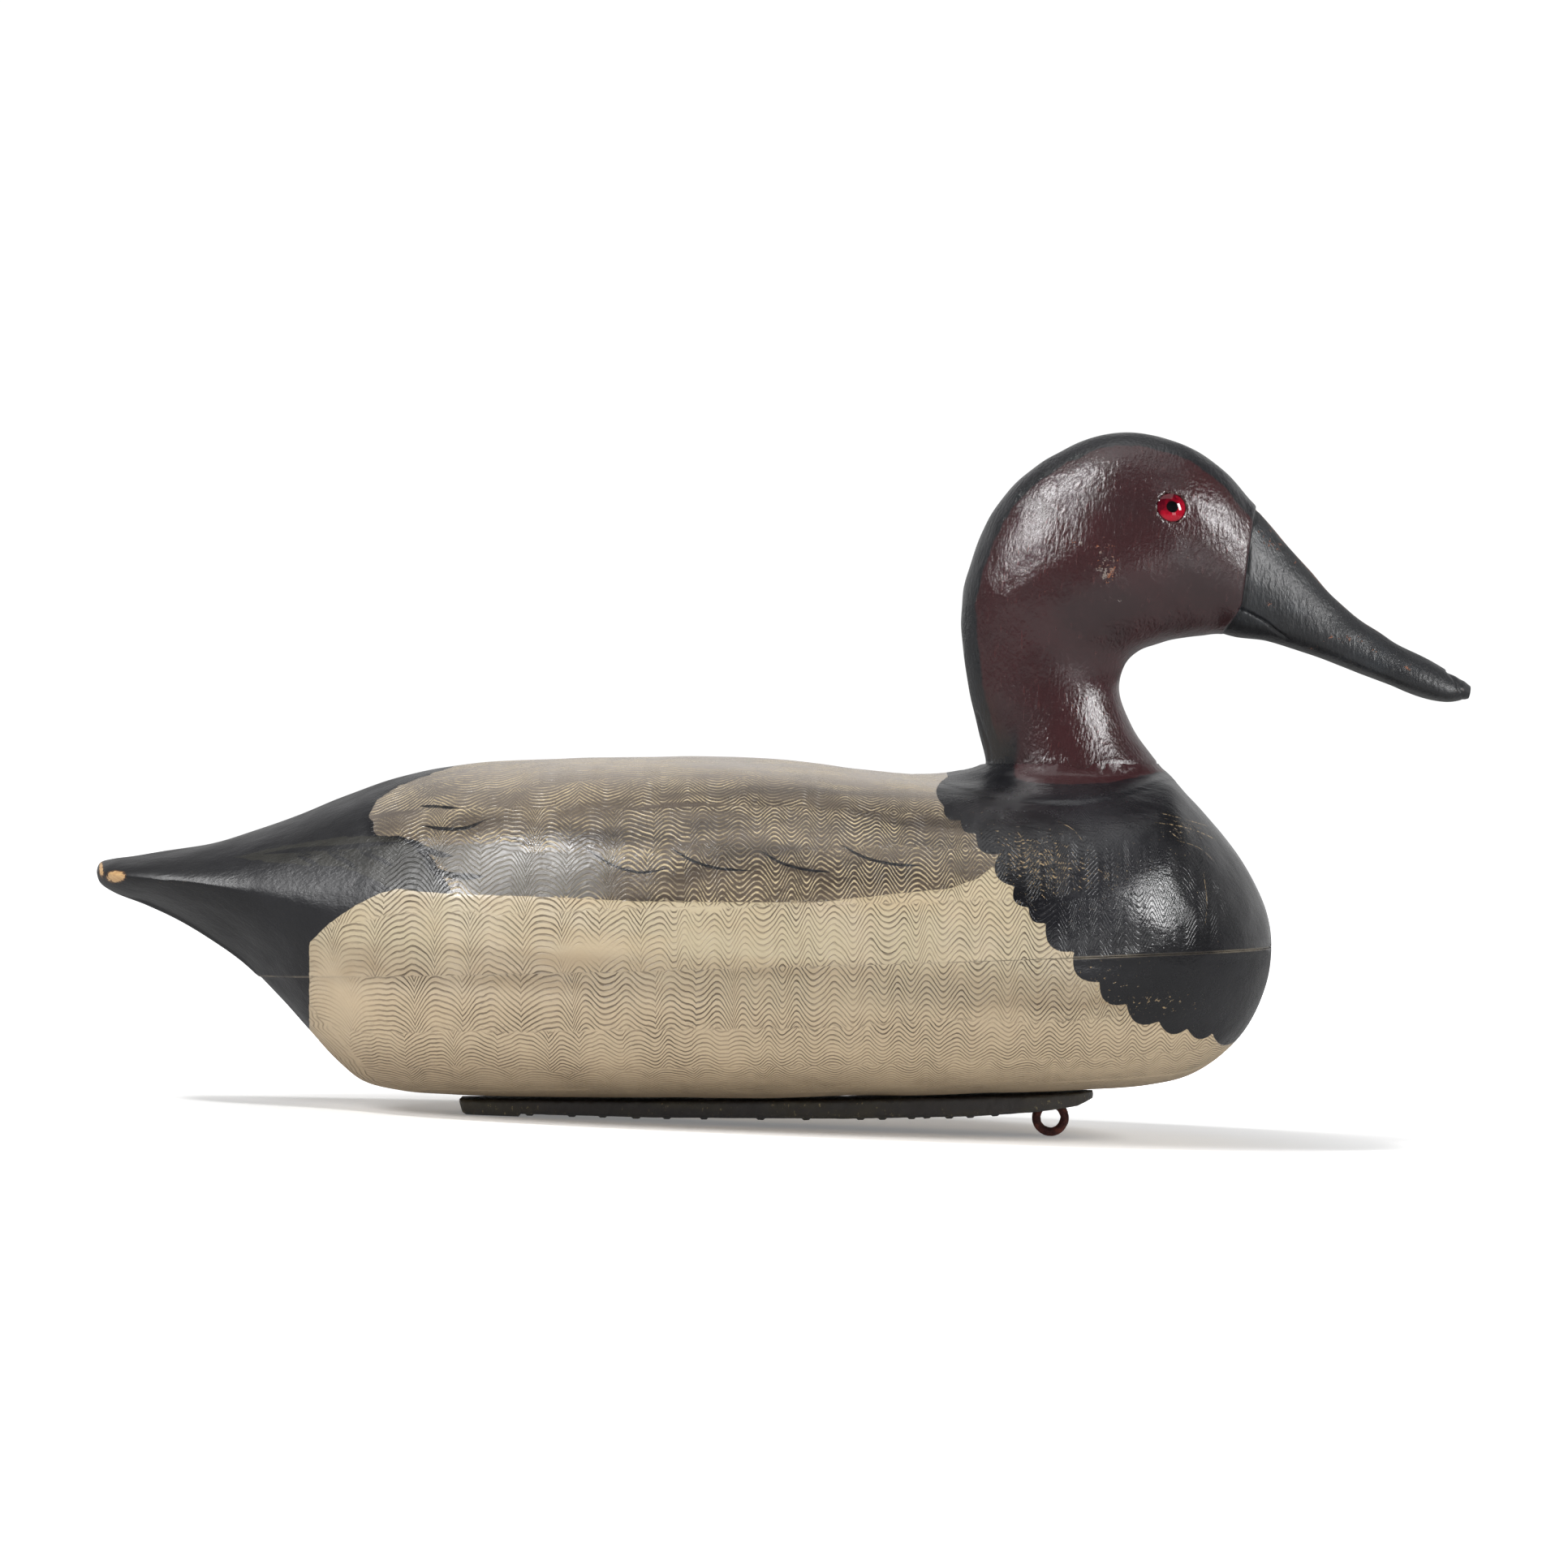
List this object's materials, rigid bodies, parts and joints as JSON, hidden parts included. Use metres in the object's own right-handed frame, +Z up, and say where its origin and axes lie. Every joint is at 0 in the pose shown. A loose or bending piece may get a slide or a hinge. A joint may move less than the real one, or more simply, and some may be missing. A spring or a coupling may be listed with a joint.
{
  "type": "duck decoy",
  "caption": "Carved and painted wooden canvasback drake decoy with combed paint, red glass eyes, a cast keel weight and an iron line-tie ring",
  "frame": {"origin": "on the surface that the decoy stands on, at the middle of its length and width", "axes": "+X towards the bill, +Y to the decoy's left, +Z up; the decoy stands on its line-tie ring and the heel of its weight, which tips the breast up by 2.3 degrees"},
  "size_m": [0.4294, 0.1694, 0.2223],
  "materials": {
    "painted_body": "combed oil paint, satin varnish",
    "painted_head": "brushed oil paint, semi-gloss varnish",
    "eye_glass": "polished red glass with a black pupil",
    "weight_metal": "rough cast metal with worn black paint",
    "ring_iron": "rusted iron"
  },
  "bodies": {
    "root": {"body_upper": "painted_body", "body_lower": "painted_body", "head": "painted_head", "eye_left": "eye_glass", "eye_right": "eye_glass", "ballast_weight": "weight_metal", "line_tie_ring": "ring_iron"}
  },
  "joints": []
}
